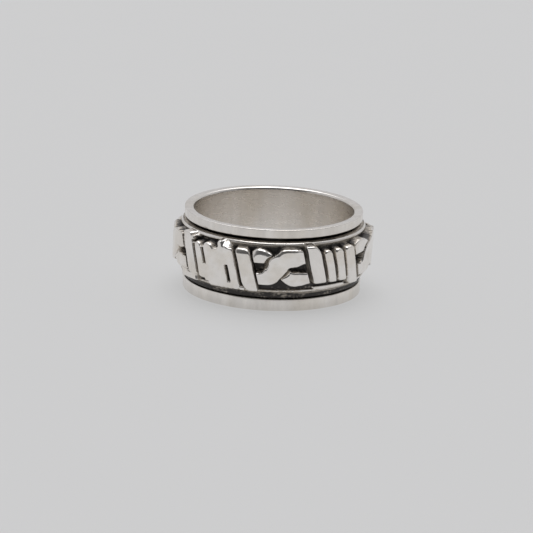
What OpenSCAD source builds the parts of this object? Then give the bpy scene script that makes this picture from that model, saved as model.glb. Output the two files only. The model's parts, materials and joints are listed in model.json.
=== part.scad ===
// Spinner ring: a wide band with a rim at each edge, and a loose outer band with raised rope ornament.
// Millimetres, +Z up. The ring lies on its lower rim, and the origin is the middle of that rim's underside.

/* [Finger hole] */
// Diameter of the hole that the finger goes through
finger_d = 19; // [14:0.1:24]

/* [Inner band] */
// Height of the ring from rim to rim
ring_h = 9.8; // [8:0.1:16]
// Wall of the sleeve between the rims
sleeve_wall = 0.55; // [0.4:0.05:1.2]
// How far each rim stands out past the sleeve
rim_out = 0.55; // [0.4:0.05:0.8]
// Height of the lower rim
lower_rim_h = 1.45; // [0.8:0.05:2]
// Height of the upper rim
upper_rim_h = 1.05; // [0.8:0.05:2]
// Radius of the rims' edges round the finger hole
inner_round = 0.25; // [0.05:0.05:0.4]
// Radius of the rims' outer edges
outer_round = 0.15; // [0.05:0.05:0.35]

/* [Spinner band] */
// Running clearance between the sleeve and the spinner band, all round
run_gap = 0.08; // [0.03:0.01:0.1]
// Gap between the spinner band and the lower rim
lower_gap = 0.15; // [0.1:0.05:0.5]
// Gap between the spinner band and the upper rim
upper_gap = 0.4; // [0.1:0.05:0.6]
// Wall of the spinner band at its sunken field
field_wall = 0.62; // [0.5:0.02:1]
// How far the borders stand out past the field
border_out = 0.2; // [0.1:0.05:0.4]
// Height of the upper border
upper_border_h = 0.2; // [0.1:0.05:0.5]
// Height of the lower border
lower_border_h = 0.25; // [0.1:0.05:0.5]
// Wall of the narrow foot under the lower border
foot_wall = 0.37; // [0.3:0.01:0.5]
// Height of the upright part of the foot
foot_h = 0.45; // [0.2:0.05:0.8]
// Height of the slope from the foot out to the lower border
foot_slope_h = 0.4; // [0.2:0.05:0.6]

/* [Rope ornament] */
// How far the ornament stands out past the field
relief_out = 1.2; // [0.6:0.05:1.6]
// How much lower the strand lies that passes under the other
under_drop = 0.2; // [0.1:0.05:0.4]
// Width of the groove between two neighbours
groove_w = 0.26; // [0.15:0.01:0.4]
// Radius of the bars' corners
bar_round = 0.4; // [0.1:0.05:0.45]
// Lean of the bars from upright, in degrees
lean = 13; // [0:1:20]
// Where the seam wrap starts, in degrees to the right of the front
seam_start = -60; // [-180:1:180]

/* [Hidden] */
$fn = 96;
silver = [0.77, 0.76, 0.74];
dark_silver = [0.5, 0.49, 0.47];

// Radii
finger_r = finger_d / 2;
sleeve_r = finger_r + sleeve_wall;
rim_r = sleeve_r + rim_out;
spinner_bore_r = sleeve_r + run_gap;
foot_r = spinner_bore_r + foot_wall;
field_r = spinner_bore_r + field_wall;
border_r = field_r + border_out;
relief_r = field_r + relief_out;
relief_root_r = spinner_bore_r + field_wall / 2;

// Heights above the underside
spinner_z0 = lower_rim_h + lower_gap;
spinner_z1 = ring_h - upper_rim_h - upper_gap;
lower_border_z = spinner_z0 + foot_h + foot_slope_h;
field_z0 = lower_border_z + lower_border_h;
field_z1 = spinner_z1 - upper_border_h;
field_mid = (field_z0 + field_z1) / 2;

// The ornament round the ring, from the seam on: [width of a wrap, width of the crossing after it], as shares
ROUND = [[49.5, 33], [35, 37], [35, 33.5], [35, 33.5], [35, 33.5]];
// Bars of a plain wrap, from the left: [width as a share, level of the bottom, level of the top].
// A level is a share of the field's height: 0 is at the lower border and 1 at the upper one.
PLAIN_BARS = [[8.3, 0.11, 1], [5.9, 0.11, 0.87], [6.7, 0.13, 0.88], [9.3, 0, 0.88]];
// Bars of the seam wrap, in the same columns
SEAM_BARS = [[8.3, 0.11, 1], [5.7, 0.1, 0.87], [7.4, 0, 0.9], [7.4, 0, 1], [4.5, 0, 1], [9, 0, 0.89]];
// Solder that fills the seam wrap's grooves: [bar to the left of the groove, lowest level, highest level]
SOLDER = [[1, 0.05, 0.46], [1, 0.7, 0.85], [2, 0, 0.88], [3, 0, 0.16], [3, 0.48, 1]];
// Edges of a crossing's strands, upper and lower: [level at the left, level at the right, start and end of
// the turn]. The turns are shares of the crossing's width.
OVER_EDGES = [[0.38, 0.87, 0.08, 0.5], [0.13, 0.58, 0.22, 0.76]];
UNDER_EDGES = [[0.89, 0.38, 0.2, 0.62], [0.59, 0.11, 0.18, 0.6]];
// Where a strand's two parts meet and how far they lap, as shares, the steps along each part's edge, and the
// steps round a bar's corner
STRAND_SPLIT = 0.4;
STRAND_LAP = 0.02;
STRAND_STEPS = 6;
CORNER_STEPS = 3;

// Sums of the first n values of one column of a table
function column_sum(table, column, n) = n <= 0 ? 0 : table[n - 1][column] + column_sum(table, column, n - 1);
share_angle = 360 / (column_sum(ROUND, 0, len(ROUND)) + column_sum(ROUND, 1, len(ROUND)));
groove_angle = groove_w / relief_r * 180 / PI;

function wrap_start(i) = seam_start + share_angle * (column_sum(ROUND, 0, i) + column_sum(ROUND, 1, i));
function crossing_start(i) = wrap_start(i) + share_angle * ROUND[i][0];
function level_z(level) = field_z0 + (field_z1 - field_z0) * level;
// Angle by which the lean shifts a point at some height above the field's middle
function lean_angle(up) = up * tan(lean) / relief_r * 180 / PI;
function ease(t) = let (c = max(0, min(1, t))) c * c * (3 - 2 * c);
function between(a, b, t) = a + (b - a) * t;

// Angle of one bar's left edge and the angle that it is wide, at the field's mid-height
function bar_scale(bars, arc) = (arc - len(bars) * groove_angle) / column_sum(bars, 0, len(bars));
function bar_left(bars, arc, i) = groove_angle * (i + 0.5) + bar_scale(bars, arc) * column_sum(bars, 0, i);
function bar_angle(bars, arc, i) = bar_scale(bars, arc) * bars[i][0];

// A square less what rounds one of its corners; the corner is at the origin and r past it are kept
module corner_cut(r) {
    difference() {
        square([r, r]);
        translate([r, r]) circle(r);
    }
}

// Section of the inner band, on the upright plane: x is the radius
module inner_band_section() {
    in_r = min(inner_round, lower_rim_h, upper_rim_h);
    out_r = min(outer_round, lower_rim_h / 2, upper_rim_h / 2);
    difference() {
        translate([finger_r, 0]) square([rim_r - finger_r, ring_h]);
        translate([sleeve_r, lower_rim_h])
            square([2 * rim_out, ring_h - lower_rim_h - upper_rim_h]);
        translate([finger_r, 0]) corner_cut(in_r);
        translate([finger_r, ring_h]) mirror([0, 1]) corner_cut(in_r);
        translate([rim_r, 0]) mirror([1, 0]) corner_cut(out_r);
        translate([rim_r, ring_h]) rotate(180) corner_cut(out_r);
    }
}

// Sleeve and rims: soldered metal, one solid
module inner_band() {
    color(silver) rotate_extrude() inner_band_section();
}

// The spinner band without its ornament
module spinner_body() {
    rotate_extrude() polygon([
        [spinner_bore_r, spinner_z0],
        [foot_r, spinner_z0],
        [foot_r, spinner_z0 + foot_h],
        [border_r, lower_border_z],
        [border_r, field_z0],
        [field_r, field_z0],
        [field_r, field_z1],
        [border_r, field_z1],
        [border_r, spinner_z1],
        [spinner_bore_r, spinner_z1]
    ]);
}

// Room that the ornament fills, out to a radius
module ornament_room(outer_r) {
    rotate_extrude()
        translate([relief_root_r, spinner_z0])
            square([outer_r - relief_root_r, spinner_z1 - spinner_z0]);
}

// Stands a flat outline upright at the band, facing out at an angle: x runs round the ring and y is height.
// The outline reaches that many degrees to each side, which sets how deep it has to be rooted.
module facing(angle, reach) {
    start = relief_root_r * cos(reach) - run_gap;
    rotate([0, 0, angle])
        rotate([90, 0, 0])
            translate([0, 0, start])
                linear_extrude(relief_r - start + relief_out) children();
}

// A square with four round corners, centred
module rounded_bar(w, h) {
    r = min(bar_round, 0.45 * w, 0.45 * h);
    polygon([
        for (corner = [0 : 3], step = [0 : CORNER_STEPS])
            let (turn = 90 * (corner + step / CORNER_STEPS))
            [(corner == 0 || corner == 3 ? 1 : -1) * (w / 2 - r) + r * cos(turn),
                (corner < 2 ? 1 : -1) * (h / 2 - r) + r * sin(turn)]
    ]);
}

// An upright bar between two levels, leaning about the field's mid-height
module leaning(angle, width_angle, low_level, high_level, rounded) {
    overlap = min(upper_border_h, lower_border_h) / 2;
    low = level_z(low_level) - (low_level <= 0 ? overlap : 0);
    high = level_z(high_level) + (high_level >= 1 ? overlap : 0);
    w = relief_r * width_angle * PI / 180 * cos(lean);
    h = (high - low) / cos(lean);
    facing(angle, width_angle / 2 + lean_angle(high - low))
        translate([0, field_mid])
            rotate(lean)
                translate([0, ((high + low) / 2 - field_mid) / cos(lean)]) {
                    if (rounded) rounded_bar(w, h);
                    else square([w, h], center = true);
                }
}

// The upright bars of one wrap
module wrap_bars(start, arc, bars) {
    for (i = [0 : len(bars) - 1])
        leaning(start + bar_left(bars, arc, i) + bar_angle(bars, arc, i) / 2, bar_angle(bars, arc, i),
            bars[i][1], bars[i][2], true);
}

// Worn solder in the seam wrap's grooves
module seam_solder(start, arc) {
    for (fill = SOLDER)
        leaning(start + bar_left(SEAM_BARS, arc, fill[0] + 1) - groove_angle / 2, 3 * groove_angle,
            fill[1], fill[2], false);
}

// One point of a strand's edge, t of the way across a crossing, seen square on at middle_t.
// The crossing leans as the bars do.
function strand_point(edge, arc, middle_t, t) =
    let (z = level_z(between(edge[0], edge[1], ease((t - edge[2]) / (edge[3] - edge[2])))))
    let (across = (t - middle_t) * (arc - groove_angle) - lean_angle(z - field_mid))
    [relief_r * sin(across), z];

// One strand of a crossing, in two parts that lap, each facing straight out: its upper edge from the left,
// then its lower edge back
module strand(start, arc, edges) {
    for (ends = [[0, STRAND_SPLIT + STRAND_LAP], [STRAND_SPLIT - STRAND_LAP, 1]]) {
        middle_t = (ends[0] + ends[1]) / 2;
        middle = start + groove_angle / 2 + middle_t * (arc - groove_angle);
        turns = [for (i = [0 : STRAND_STEPS]) between(ends[0], ends[1], i / STRAND_STEPS)];
        facing(middle, arc * (ends[1] - ends[0]) / 2 + lean_angle(field_z1 - field_z0)) polygon(concat(
            [for (t = turns) strand_point(edges[0], arc, middle_t, t)],
            [for (i = [STRAND_STEPS : -1 : 0]) strand_point(edges[1], arc, middle_t, turns[i])]
        ));
    }
}

// The loose outer band, cast in one with its borders and its ornament
module spinner_band() {
    color(dark_silver) union() {
        spinner_body();
        intersection() {
            ornament_room(relief_r);
            union() {
                for (i = [0 : len(ROUND) - 1]) {
                    wrap_bars(wrap_start(i), share_angle * ROUND[i][0], i == 0 ? SEAM_BARS : PLAIN_BARS);
                    strand(crossing_start(i), share_angle * ROUND[i][1], OVER_EDGES);
                }
                seam_solder(wrap_start(0), share_angle * ROUND[0][0]);
            }
        }
        intersection() {
            ornament_room(relief_r - under_drop);
            union() {
                for (i = [0 : len(ROUND) - 1])
                    strand(crossing_start(i), share_angle * ROUND[i][1], UNDER_EDGES);
            }
        }
    }
}

inner_band();
spinner_band();
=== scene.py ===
"""Spinner ring: a wide band with a rim at each edge, and a loose outer band with raised rope ornament."""

import json
import math

import bpy
import numpy as np
from bpy.props import FloatProperty, FloatVectorProperty, PointerProperty
from mathutils import Matrix, Vector


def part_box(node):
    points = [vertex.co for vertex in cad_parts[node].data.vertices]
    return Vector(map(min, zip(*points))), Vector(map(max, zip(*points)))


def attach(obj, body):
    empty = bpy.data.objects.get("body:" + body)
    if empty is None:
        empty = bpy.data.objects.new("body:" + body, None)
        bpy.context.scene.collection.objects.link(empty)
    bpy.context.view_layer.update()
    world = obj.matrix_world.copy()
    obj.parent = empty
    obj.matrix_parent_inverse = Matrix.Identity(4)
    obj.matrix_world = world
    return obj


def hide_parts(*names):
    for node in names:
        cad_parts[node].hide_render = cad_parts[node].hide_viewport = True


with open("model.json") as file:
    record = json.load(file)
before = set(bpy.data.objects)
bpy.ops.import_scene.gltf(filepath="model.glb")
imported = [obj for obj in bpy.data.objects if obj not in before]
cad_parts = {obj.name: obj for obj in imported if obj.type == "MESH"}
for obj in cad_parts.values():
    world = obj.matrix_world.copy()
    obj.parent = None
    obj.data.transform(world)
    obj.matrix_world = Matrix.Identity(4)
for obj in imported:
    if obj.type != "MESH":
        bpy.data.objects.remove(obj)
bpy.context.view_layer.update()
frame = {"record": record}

bl_info = {
    "name": "Spinner Ring",
    "version": (1, 0, 0),
    "blender": (4, 5, 0),
    "location": "3D View > Sidebar > Spinner Ring",
    "description": "Makes a silver spinner ring with rope ornament, and its stage",
    "category": "Add Mesh",
}

# A millimetre, as every length here is in metres
MM = 0.001
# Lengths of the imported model
BAND_LOW, BAND_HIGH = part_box("inner_band")
SPINNER_LOW, SPINNER_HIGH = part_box("spinner_band")
FINGER_RADIUS = next(m["dims"]["r_mm"] for m in frame["record"]["mounts"] if m["name"] == "finger_bore") * MM
RING_HEIGHT = BAND_HIGH.z - BAND_LOW.z
RIM_RADIUS = BAND_HIGH.x

# The ornament round the ring, from the seam on, in degrees and mm: (width of a wrap, width of the crossing
# after it, rounding of the crossing's upper edges, slope of its passing strand's left wall, rounding of its
# lower edges, share of the roundings and share of the height of the wrap's bars, share of their grooves)
ROUND = ((48.75, 31.5, 0.46, 0.5, 0.12, 1, 1, 1), (34.95, 44.5, 0.15, 0.05, 0.2, 1, 1, 0.5),
         (33, 31, 0.4, 0.25, 0.2, 2, 0.93, 0.5), (33, 33, 0.46, 0.3, 0.12, 1.5, 1, 0.5),
         (35.2, 35.1, 0.25, 0.15, 0.4, 2, 1, 0.5))
# Where the seam wrap starts, in degrees to the right of the front
SEAM_START = -58.7
# Extra lean of the hand-set bars round the ring, in degrees: (degrees from the front, lean)
EXTRA_LEAN = ((-60, 4), (-50, 4), (-43, 1.7), (-20, 1.3), (-10, 1.6), (20, 1.6), (24, 0.4), (33, 0.2),
              (40, -0.7), (48, -1.8), (60, -1.8), (100, 0), (280, 0))
# How the spinner's polish is scaled round the ring, as (degrees from the front, share), to paint light and
# shade:
# for most of its section it stays as it is; on the slope of its foot the larger shares on the right side
# paint light; in the field under its upper border the small shares by the seam paint shade into the dark
# pocket there, and the larger shares on the right side paint light
PAINTED_LIGHT_ROUND = (((0, 1),),
                ((-60, 1), (7, 1), (20, 2.4), (44, 2.4), (60, 1.5), (100, 1), (280, 1)),
                ((-60, 0.25), (-33, 0.25), (-28, 1), (27, 1), (36, 1.35), (60, 1.35), (80, 1), (280, 1)))
# Bars of a plain wrap, from the left: (width as a share, level of the bottom, level of the top,
# then in mm the corners upper left, upper right, lower left, lower right, the width of the wall,
# the rounding of the sides, and that of the top)
PLAIN_BARS = ((9, 0.11, 1, 0.25, 0.9, 0.35, 0.35, 0.17, 0.12, 0.2),
              (6.3, 0.105, 0.9, 0.55, 0.5, 0.35, 0.35, 0.17, 0.12, 0.35),
              (6.65, 0.105, 0.905, 0.55, 0.55, 0.35, 0.35, 0.17, 0.12, 0.35),
              (8.3, 0, 0.905, 0.5, 0.45, 0.35, 0.35, 0.17, 0.12, 0.35))
# Bars of the seam wrap, in the same columns
SEAM_BARS = ((8.4, 0.11, 1, 0.3, 0.25, 0.3, 0.3, 0.05, 0.15, 0.05),
             (5.8, 0.1, 0.885, 0.45, 0.6, 0.3, 0.1, 0.05, 0.15, 0.3),
             (8.3, 0, 0.915, 0.7, 0.85, 0.3, 0.3, 0.05, 0.15, 0.3),
             (4.2, 0, 0.88, 0.4, 0.3, 0.3, 0.3, 0.05, 0.15, 0.25),
             (5.7, 0, 0.9, 0.3, 0.3, 0.3, 0.5, 0.05, 0.15, 0.2),
             (8.75, 0, 0.925, 0.35, 0.6, 0.75, 0.2, 0.05, 0.12, 0.75))
# Lumps of solder and thick places in the casting: (left and right in degrees from the front, bottom level,
# top level, share of the relief, then corners, wall and roundings as for a bar)
LUMPS = ((-30, -20.6, 0.5, 1, 0.98, 0.4, 0.9, 0.3, 0.3, 0.42, 0.2, 0.1),
         (-30.3, -26.3, 0.5, 1, 0.99, 0.4, 0.3, 0.3, 0.3, 0.08, 0.1, 0.1),
         (-61.2, -57.5, 0.57, 0.89, 0.98, 0.1, 0.1, 0.3, 0.3, 0.05, 0.05, 0.2),
         (-53, -47.9, 0.86, 0.97, 0.99, 0.1, 0.2, 0.1, 0.1, 0.05, 0.15, 0.1),
         (-50, -45.4, 0.9, 1, 0.95, 0.1, 0.6, 0.1, 0.3, 0.35, 0.1, 0.05),
         (-62, -51.5, 0, 0.145, 0.95, 0.1, 0.1, 0.1, 0.1, 0.06, 0.06, 0.05),
         (294, 303, 0, 0.19, 0.95, 0.1, 0.1, 0.1, 0.1, 0.06, 0.06, 0.05),
         (-41, -27, 0, 0.12, 0.6, 0.1, 0.1, 0.1, 0.1, 0.06, 0.06, 0.05),
         # The last lump, low and wide on the lower border at the right side, thickens the border there a
         # little and with its full polish paints light on that band.
         (23, 55, 0, 0.055, 0.165, 0.03, 0.03, 0.03, 0.03, 0.02, 0.04, 0.04))
# Solder in the seam wrap's grooves: (bar to the left of the groove, lowest level, highest level)
SOLDER = ((0, 0.79, 0.84), (1, 0.05, 0.45), (1, 0.76, 0.82), (2, 0, 0.825), (3, 0, 0.16), (3, 0.485, 0.86),
          (4, 0, 0.09))
# How far that solder reaches to the left and right of the bar's right side, in grooves, and its share of the
# relief, corners, wall and roundings
SOLDER_REACH = (1, 2)
SOLDER_SHAPE = (0.99, 0.2, 0.2, 0.2, 0.2, 0.05, 0.12, 0.1)
# Edges of a crossing's strands, from the left: (share of the way across, level)
OVER_UPPER = ((0, 0.413), (0.05, 0.413), (0.085, 0.42), (0.121, 0.436), (0.155, 0.478), (0.178, 0.54),
              (0.2, 0.6), (0.228, 0.65), (0.262, 0.695), (0.296, 0.73), (0.345, 0.765), (0.399, 0.792),
              (0.443, 0.8165), (0.499, 0.853), (0.5765, 0.917), (0.678, 0.945), (0.805, 0.945),
              (0.866, 0.939), (0.9565, 0.923), (1, 0.908))
OVER_LOWER = ((0, 0.1376), (0.179, 0.1376), (0.245, 0.147), (0.314, 0.174), (0.37, 0.211), (0.432, 0.275),
              (0.512, 0.349), (0.574, 0.413), (0.616, 0.459), (0.651, 0.505), (0.698, 0.525), (0.7485, 0.532),
              (0.8135, 0.538), (0.882, 0.562), (0.962, 0.594), (1, 0.602))
UNDER_UPPER = ((0, 0.87), (0.05, 0.907), (0.1, 0.932), (0.171, 0.945), (0.2326, 0.936),
               (0.292, 0.917), (0.347, 0.881), (0.386, 0.844), (0.4135, 0.826), (0.45, 0.77), (0.55, 0.62),
               (0.62, 0.52), (0.665, 0.468), (0.722, 0.44), (0.817, 0.44), (0.879, 0.431), (1, 0.431))
UNDER_LOWER = ((0, 0.602), (0.173, 0.602), (0.205, 0.603), (0.2435, 0.633), (0.303, 0.688), (0.372, 0.752),
               (0.405, 0.785), (0.42, 0.6), (0.43, 0.27), (0.455, 0.2385), (0.492, 0.193), (0.532, 0.156),
               (0.586, 0.119), (0.647, 0.1046), (0.742, 0.1046), (0.84, 0.119), (0.907, 0.1376), (1, 0.162))
# How the strands' upper edges change on the way across: (share of the way across, share of the crossing's
# rounding or slope)
OVER_ROUNDING = ((0, 0.25), (0.38, 0.25), (0.58, 1), (0.8, 1), (0.95, 0.5), (1, 0.4))
OVER_SLOPE = ((0, 0.01), (0.14, 0.01), (0.165, 0.04), (0.195, 0.32), (0.228, 0.78), (0.262, 0.9),
              (0.296, 0.5), (0.34, 0.25), (0.42, 0.05), (0.5, 0), (1, 0))
UNDER_ROUNDING = ((0, 1), (0.07, 1), (0.3, 1), (0.38, 0.5), (0.55, 0.36), (0.8, 0.36), (1, 0.33))
# How worn the sloping wall of the strand that passes over is: (share of the way across, share)
OVER_WEAR = ((0, 0.75), (0.1, 0.9), (0.2, 1), (0.33, 1), (0.42, 0.1), (0.5, 0), (1, 0))
# A curve that stays at nothing
NONE = ((0, 0), (1, 0))
# How wide the under strand dips beside the one that passes over it: (share of the way across, width in mm)
MOAT = ((0, 0.05), (0.2, 0.05), (0.42, 0.05), (0.5, 0.15), (0.62, 0.4), (1, 0.3))

# Columns of the tables that the tree of nodes reads
BAR_COLUMNS = ("left", "right", "low", "high", "share", "upper left", "upper right", "lower left",
               "lower right", "wall", "rounding", "crown")
CROSSING_COLUMNS = ("start", "width", "rounding", "slope", "lower rounding")
# Distances in from a bar's side, and from a crossing's end, at which the casting has a column, in mm
SIDE_COLUMNS = (-0.03, 0.005, 0.05, 0.07, 0.11, 0.17, 0.24)
END_COLUMNS = (-0.02, 0.03)
# How far in from a crossing's end its even columns begin, and the widest steps between even columns
END_MARGIN = 0.06 * MM
BAR_STEP = 0.13 * MM
STRAND_STEP = 0.092 * MM
# How far a shape that reaches an edge of the field laps over the border there
LAP = 0.11 * MM
# In grooves, where a crossing starts after its wrap, and what it gives up of its width at both ends together
CROSSING_START = 0.3
CROSSING_LOSS = 1.4


def size_property(name, description, default):
    """A size that a user can change."""
    return FloatProperty(name=name, description=description, default=default, subtype="DISTANCE")


def colour_property(name, description, default):
    """A colour that a user can change."""
    return FloatVectorProperty(name=name, description=description, default=default, subtype="COLOR")


class SpinnerRingSizes(bpy.types.PropertyGroup):
    """Sizes of the ring's two pieces."""

    finger_radius: size_property("Finger radius", "Radius of the finger hole", FINGER_RADIUS)
    sleeve_wall: size_property("Sleeve wall", "Wall of the sleeve between the rims", 0.55 * MM)
    lower_rim: size_property("Lower rim", "Height of the lower rim", 1.45 * MM)
    upper_rim: size_property("Upper rim", "Height of the upper rim", 1.05 * MM)
    rim_inner_round: size_property(
        "Inner rounding", "Radius of the rims' edges round the finger hole", 0.3 * MM)
    rim_outer_round: size_property("Outer rounding", "Radius of the rims' outer edges", 0.08 * MM)
    run_gap: size_property("Running gap", "Clearance between sleeve and spinner", 0.08 * MM)
    field_wall: size_property("Field wall", "Wall of the spinner at its sunken field", 0.62 * MM)
    foot_wall: size_property("Foot wall", "Wall of the spinner at its foot", 0.37 * MM)
    foot: size_property("Foot", "Height of the foot", 0.45 * MM)
    foot_slope: size_property("Foot slope", "Height of the slope from the foot to the lower border", 0.4 * MM)
    lower_border: size_property("Lower border", "Height of the lower border", 0.25 * MM)
    upper_border: size_property("Upper border", "Height of the upper border", 0.2 * MM)
    border_out: size_property("Border", "How far the borders stand out past the field", 0.2 * MM)
    relief_out: size_property("Relief", "How far the ornament stands out past the field", 1.2 * MM)
    lean: FloatProperty(
        name="Lean", description="Lean of the bars from upright", default=math.radians(13), subtype="ANGLE")
    groove: size_property("Groove", "Width of the groove between two bars", 0.26 * MM)
    waver: size_property("Waver", "How far the hand-made outlines stray", 0.035 * MM)


class SpinnerRingFinish(bpy.types.PropertyGroup):
    """Colours of the silver and of what darkens it."""

    silver: colour_property("Silver", "Colour of the bare silver", (0.915, 0.88, 0.84))
    rubbed_silver: colour_property(
        "Rubbed silver", "Colour of the ornament, kept bright by handling", (0.95, 0.92, 0.885))
    tarnish: colour_property("Tarnish", "Warm tint of old silver", (0.72, 0.64, 0.52))
    patina: colour_property("Patina", "Colour of the blackened recesses", (0.042, 0.038, 0.036))
    worn_patina: colour_property("Worn patina", "Colour of the recesses' walls", (0.6, 0.54, 0.46))


class SpinnerRingStage(bpy.types.PropertyGroup):
    """Floor and light."""

    floor_colour: colour_property("Floor", "Colour of the floor", (0.2, 0.2, 0.202))
    floor_width: size_property("Floor width", "Width of the floor", 1.6)
    floor_glow: FloatProperty(
        name="Floor glow", description="Light that the floor gives by itself", default=0.45)
    softbox: FloatProperty(name="Softbox", description="Radiance of the overhead light", default=2.4)
    front: FloatProperty(name="Front", description="Radiance of the room behind the camera", default=0.09)


# Help with trees of nodes

# Kinds of sockets by plain names, and the output of a group that passes geometry on
SOCKETS = {
    "value": "NodeSocketFloat", "size": "NodeSocketFloat", "vector": "NodeSocketVector",
    "colour": "NodeSocketColor", "geometry": "NodeSocketGeometry", "object": "NodeSocketObject",
    "material": "NodeSocketMaterial",
}
GEOMETRY = {"Geometry": ("geometry",)}


class Maker:
    """Adds nodes to a tree in few words."""

    def __init__(self, tree):
        self.tree = tree

    def join(self, value, socket):
        """Links a node or a socket to a socket, or sets a plain value on it."""
        if isinstance(value, bpy.types.Node):
            value = value.outputs[0]
        if isinstance(value, bpy.types.NodeSocket):
            self.tree.links.new(value, socket)
        elif value is not None:
            socket.default_value = value

    def put(self, kind, inputs=(), **settings):
        """Adds a node with its settings, and its inputs in order or by name or number."""
        node = self.tree.nodes.new(kind)
        for name, value in settings.items():
            setattr(node, name, value)
        for key, value in inputs.items() if isinstance(inputs, dict) else enumerate(inputs):
            self.join(value, node.inputs[key])
        return node

    def sum(self, operation, a, b=None, c=None, clamp=False):
        return self.put("ShaderNodeMath", (a, b, c), operation=operation, use_clamp=clamp).outputs[0]

    def plus(self, a, b):
        return self.sum("ADD", a, b)

    def minus(self, a, b):
        return self.sum("SUBTRACT", a, b)

    def times(self, a, b):
        return self.sum("MULTIPLY", a, b)

    def divide(self, a, b, clamp=False):
        return self.sum("DIVIDE", a, b, clamp=clamp)

    def least(self, a, b):
        return self.sum("MINIMUM", a, b)

    def most(self, a, b):
        return self.sum("MAXIMUM", a, b)

    def times_plus(self, a, b, c):
        """a times b, plus c."""
        return self.sum("MULTIPLY_ADD", a, b, c)

    def vector(self, operation, a, b):
        return self.put("ShaderNodeVectorMath", (a, b), operation=operation).outputs[0]

    def remap(self, value, low, high, to_low=0.0, to_high=1.0, kind="LINEAR"):
        return self.put("ShaderNodeMapRange", (value, low, high, to_low, to_high),
                        interpolation_type=kind).outputs[0]

    def mix(self, share, a, b):
        """A value from a to b."""
        return self.put("ShaderNodeMix", {0: share, 2: a, 3: b}, data_type="FLOAT").outputs[0]

    def blend(self, share, a, b):
        """A colour from a to b."""
        return self.put("ShaderNodeMix", {0: share, 6: a, 7: b}, data_type="RGBA").outputs[2]

    def noise(self, place, scale, detail, roughness=0.5):
        """The outputs of a noise texture: a value and a colour."""
        return self.put("ShaderNodeTexNoise", {
            "Vector": place, "Scale": scale, "Detail": detail, "Roughness": roughness}).outputs

    def position(self):
        """The three coordinates of a point."""
        return self.put("ShaderNodeSeparateXYZ", (self.put("GeometryNodeInputPosition"),)).outputs

    def attribute(self, name):
        return self.put("GeometryNodeInputNamedAttribute", {"Name": name}, data_type="FLOAT").outputs[0]

    def store(self, geometry, name, value):
        """The geometry with a value kept on its points by name."""
        return self.put(
            "GeometryNodeStoreNamedAttribute", {"Geometry": geometry, "Name": name, "Value": value},
            data_type="FLOAT", domain="POINT").outputs[0]


def plain_sizes(*names):
    """Sockets for sizes that are always joined."""
    return {name: ("size",) for name in names}


def new_group(name, kind, inputs, outputs):
    """An empty group of nodes with named sockets; gives its maker, and its inputs by name."""
    tree = bpy.data.node_groups.new(name, kind)
    for direction, sockets in (("INPUT", inputs), ("OUTPUT", outputs)):
        for socket_name, (what, *default) in sockets.items():
            socket = tree.interface.new_socket(socket_name, in_out=direction, socket_type=SOCKETS[what])
            if default:
                socket.default_value = default[0]
            if what == "size":
                socket.subtype = "DISTANCE"
    maker = Maker(tree)
    given = maker.put("NodeGroupInput").outputs
    return maker, {s.name: s for s in given if s.name}


def finish_group(maker, outputs):
    """Joins a group's results to its outputs."""
    maker.put("NodeGroupOutput", outputs)
    return maker.tree


def finish_piece(maker, geometry, finish):
    """Ends a piece's tree with real geometry in its finish."""
    real = maker.put("GeometryNodeRealizeInstances", {"Geometry": geometry})
    done = maker.put("GeometryNodeSetMaterial", {"Geometry": real, "Material": finish})
    return finish_group(maker, {"Geometry": done})


def place_group(maker, tree, inputs):
    """Puts a group in another tree and gives its outputs."""
    kind = "ShaderNodeGroup" if tree.bl_idname == "ShaderNodeTree" else "GeometryNodeGroup"
    node = maker.tree.nodes.new(kind)
    node.node_tree = tree
    for name, value in inputs.items():
        maker.join(value, node.inputs[name])
    return node.outputs


def shared_tree(name, build):
    """A group of nodes that more than one piece uses, built once."""
    return bpy.data.node_groups.get(name) or build()


# Shapes shared by the two pieces

# Middle of a noise, and what brings its stray from there to about one
NOISE_MIDDLE = 0.5
NOISE_GAIN = 4.0


def ring_bend_tree():
    """Bends a flat strip into a ring: x is the way round, y the radius and z the height. The attribute lean
    is an angle that shears it, and freedom says how far a point may stray."""
    maker, given = new_group("Bend into a ring", "GeometryNodeTree", {
        "Geometry": ("geometry",), "Strip radius": ("size", 0.01), "Middle height": ("size", 0.005),
        "Stray": ("size", 0.0), "Stray scale": ("value", 300.0),
    }, GEOMETRY)
    flat = maker.position()
    shift = maker.times(maker.minus(flat[2], given["Middle height"]),
                        maker.sum("TANGENT", maker.attribute("lean")))
    turn = maker.divide(maker.minus(flat[0], shift), given["Strip radius"])
    around = maker.put("ShaderNodeCombineXYZ", (
        maker.times(flat[1], maker.sum("SINE", turn)),
        maker.times(flat[1], maker.times(maker.sum("COSINE", turn), -1.0)), flat[2]))
    noise = maker.noise(around, scale=given["Stray scale"], detail=1.0)["Color"]
    centred = maker.vector("SUBTRACT", noise, (NOISE_MIDDLE,) * 3)
    freedom = maker.times(maker.attribute("freedom"), given["Stray"])
    stray = maker.put("ShaderNodeVectorMath", {0: centred, "Scale": maker.times(freedom, NOISE_GAIN)},
                      operation="SCALE").outputs[0]
    placed = maker.put("GeometryNodeSetPosition", {
        "Geometry": given["Geometry"], "Position": maker.vector("ADD", around, stray)})
    return finish_group(maker, {"Geometry": placed})


def add_object(name, data):
    """Puts a mesh or a camera in the scene as an object."""
    added = bpy.data.objects.new(name, data)
    bpy.context.scene.collection.objects.link(added)
    return added


def keep_on_points(mesh, name, values):
    """Keeps a number for each of a mesh's points as a named attribute."""
    mesh.attributes.new(name, "FLOAT", "POINT").data.foreach_set("value", values)


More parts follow.
